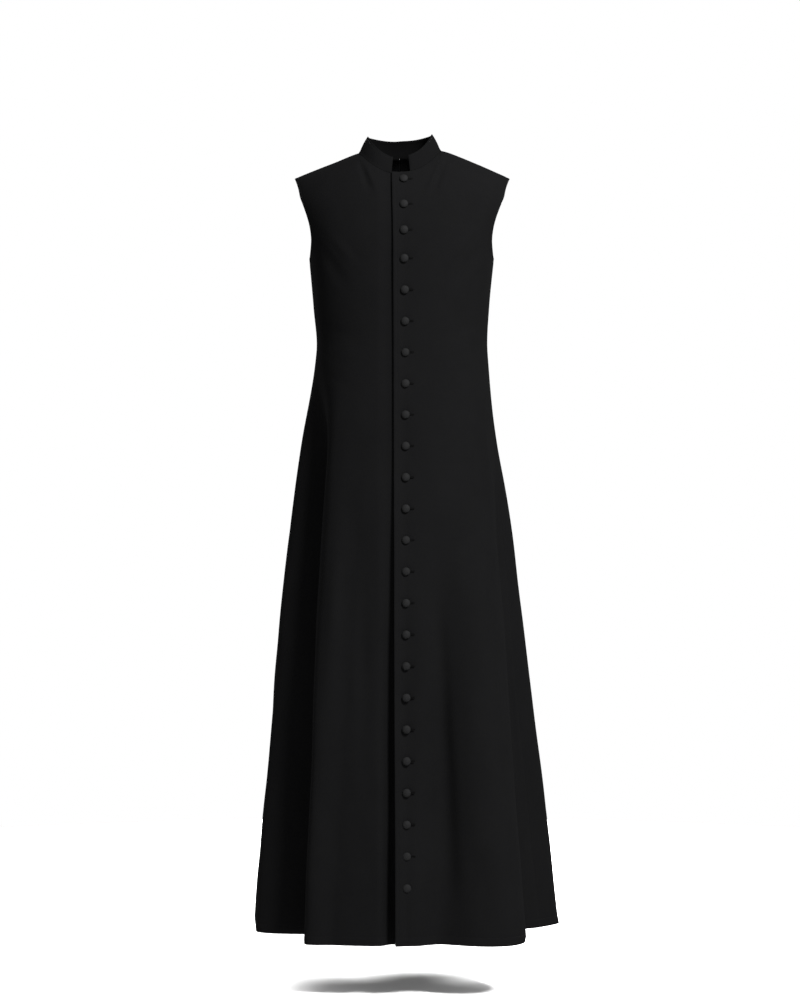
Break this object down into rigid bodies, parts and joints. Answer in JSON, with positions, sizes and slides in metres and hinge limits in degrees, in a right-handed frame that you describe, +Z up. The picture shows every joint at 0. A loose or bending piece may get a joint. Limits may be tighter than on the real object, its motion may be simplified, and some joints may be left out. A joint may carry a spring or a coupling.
{
  "type": "sleeveless clergy robe",
  "caption": "Worn sleeveless clergy robe: a hollow ankle-length black cloth garment with a stand collar, a buttoned centre front, open armholes and a flared, softly folded skirt.",
  "frame": {"origin": "midway between the two points where the collar meets the shoulder seams, where the wearer's shoulders hold the robe", "axes": "+X to the wearer's left, -Y to the front, +Z up"},
  "size_m": [0.5741, 0.4242, 1.4585],
  "materials": {
    "cloth": "matt black fine twill",
    "button_cloth": "black cloth drawn over a domed button"
  },
  "bodies": {
    "root": {"front_left": "cloth", "front_right": "cloth", "back_left": "cloth", "back_right": "cloth", "collar": "cloth", "button_01": "button_cloth", "button_02": "button_cloth", "button_03": "button_cloth", "button_04": "button_cloth", "button_05": "button_cloth", "button_06": "button_cloth", "button_07": "button_cloth", "button_08": "button_cloth", "button_09": "button_cloth", "button_10": "button_cloth", "button_11": "button_cloth", "button_12": "button_cloth", "button_13": "button_cloth", "button_14": "button_cloth", "button_15": "button_cloth", "button_16": "button_cloth", "button_17": "button_cloth", "button_18": "button_cloth", "button_19": "button_cloth", "button_20": "button_cloth", "button_21": "button_cloth", "button_22": "button_cloth", "button_23": "button_cloth", "button_24": "button_cloth"}
  },
  "joints": []
}
